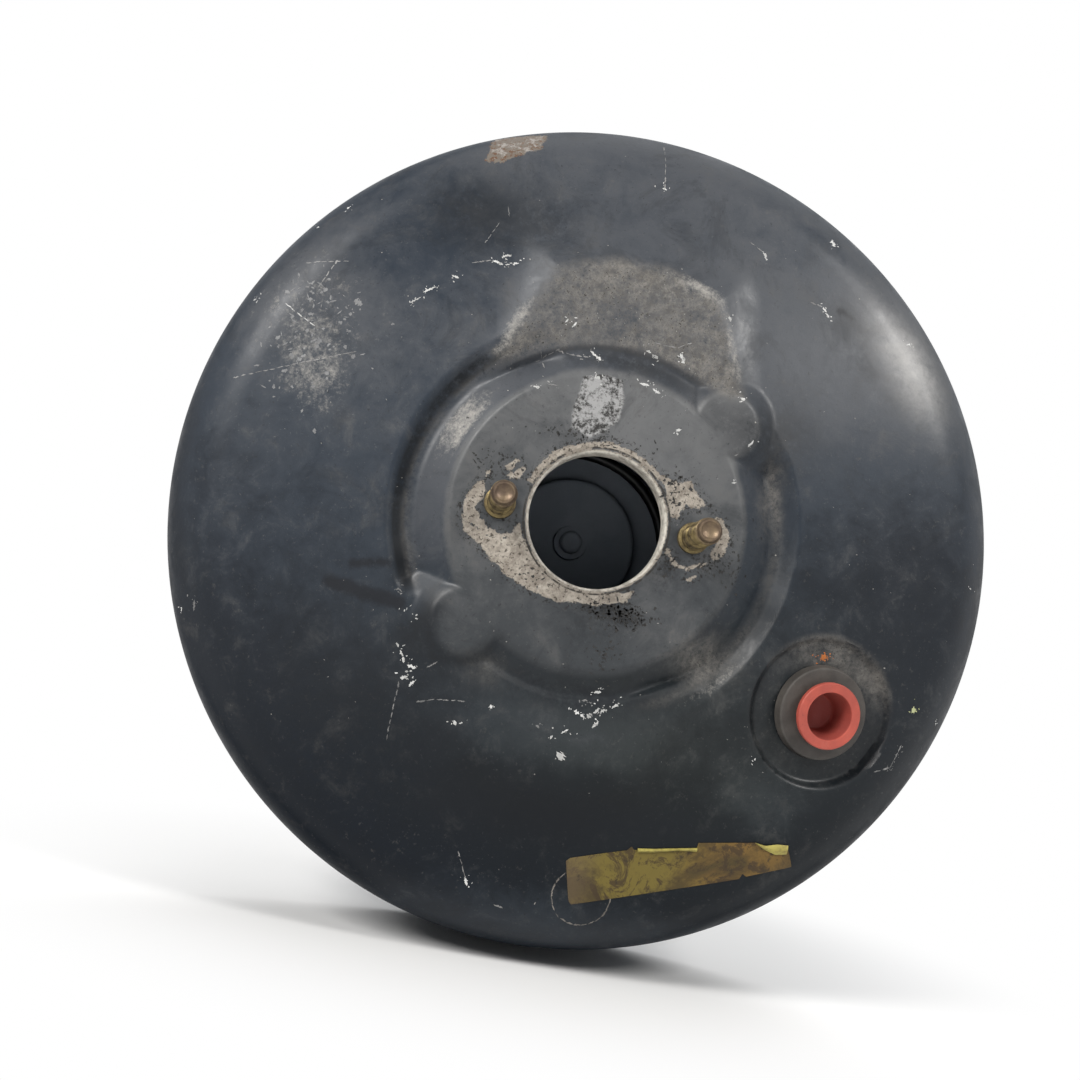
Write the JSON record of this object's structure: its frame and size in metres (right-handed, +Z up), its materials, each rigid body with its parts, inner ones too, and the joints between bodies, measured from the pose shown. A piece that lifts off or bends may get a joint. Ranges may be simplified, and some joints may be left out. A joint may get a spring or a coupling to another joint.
{
  "type": "vacuum brake booster",
  "caption": "Single-diaphragm vacuum brake booster: domed steel housing with studs for a master cylinder, a vacuum port, bulkhead studs, a bellows boot and a pedal rod with a clevis.",
  "frame": {"origin": "on the booster's axis, at the centre of the four bulkhead studs, in the plane of the bulkhead mounting face", "axes": "+Y along the axis towards the brake pedal, -Y towards the master cylinder, X along the line of the two master cylinder studs, +Z up"},
  "size_m": [0.279, 0.299, 0.279],
  "materials": {
    "shell_paint": "worn semi-gloss black paint over pressed steel",
    "yellow_zinc": "yellow zinc plating, worn at the thread crests",
    "bare_steel": "plain steel, lightly oiled",
    "spring_steel": "dark oil-tempered wire",
    "dark_steel": "black phosphate",
    "black_rubber": "matt black rubber",
    "red_plastic": "soft red moulded plastic",
    "valve_moulding": "black moulded phenolic",
    "pale_plastic": "natural nylon",
    "felt": "grey-white wool felt",
    "foam": "open black foam"
  },
  "bodies": {
    "booster_shell": {"front_shell": "shell_paint", "front_plate": "bare_steel", "master_cylinder_studs": "yellow_zinc", "check_valve_grommet": "black_rubber", "transit_plug": "red_plastic", "rear_shell": "shell_paint", "rear_plate": "bare_steel", "bulkhead_studs": "yellow_zinc", "neck_bush": "pale_plastic", "neck_seal": "black_rubber", "bush_clip": "bare_steel", "diaphragm": "black_rubber", "return_spring": "spring_steel", "dust_boot": "black_rubber"},
    "power_piston": {"valve_body": "valve_moulding", "diaphragm_plate": "bare_steel", "reaction_disc": "black_rubber", "output_pushrod": "dark_steel", "pushrod_cage": "bare_steel", "stop_key": "bare_steel", "poppet_valve": "black_rubber", "poppet_holder": "bare_steel", "poppet_spring": "spring_steel", "rod_spring": "spring_steel", "air_silencer": "felt", "air_filter": "foam", "filter_cap": "valve_moulding"},
    "poppet": {"poppet_ring": "bare_steel"},
    "valve_plunger": {"valve_plunger": "bare_steel"},
    "input_rod": {"pedal_rod": "yellow_zinc", "rod_washer": "bare_steel", "lock_nut": "yellow_zinc", "clevis": "yellow_zinc"}
  },
  "joints": [
    {"name": "piston_slide", "type": "slide", "parent": "booster_shell", "child": "power_piston", "axis": [0, -1, 0], "range_m": [0, 0.034], "stiffness_N_per_m": 4000, "springref_m": -0.03, "deforming": ["return_spring", "dust_boot", "diaphragm"]},
    {"name": "plunger_slide", "type": "slide", "parent": "power_piston", "child": "valve_plunger", "axis": [0, -1, 0], "range_m": [0, 0.0024], "stiffness_N_per_m": 3000, "springref_m": -0.012, "deforming": ["rod_spring"]},
    {"name": "poppet_slide", "type": "slide", "parent": "power_piston", "child": "poppet", "axis": [0, -1, 0], "range_m": [0, 0.001], "deforming": ["poppet_valve", "poppet_spring"]},
    {"name": "rod_tilt", "type": "hinge", "parent": "valve_plunger", "child": "input_rod", "pos_m": [0, 0.009, 0], "axis": [1, 0, 0], "range_deg": [-3, 3], "stiffness_Nm_per_rad": 20}
  ]
}
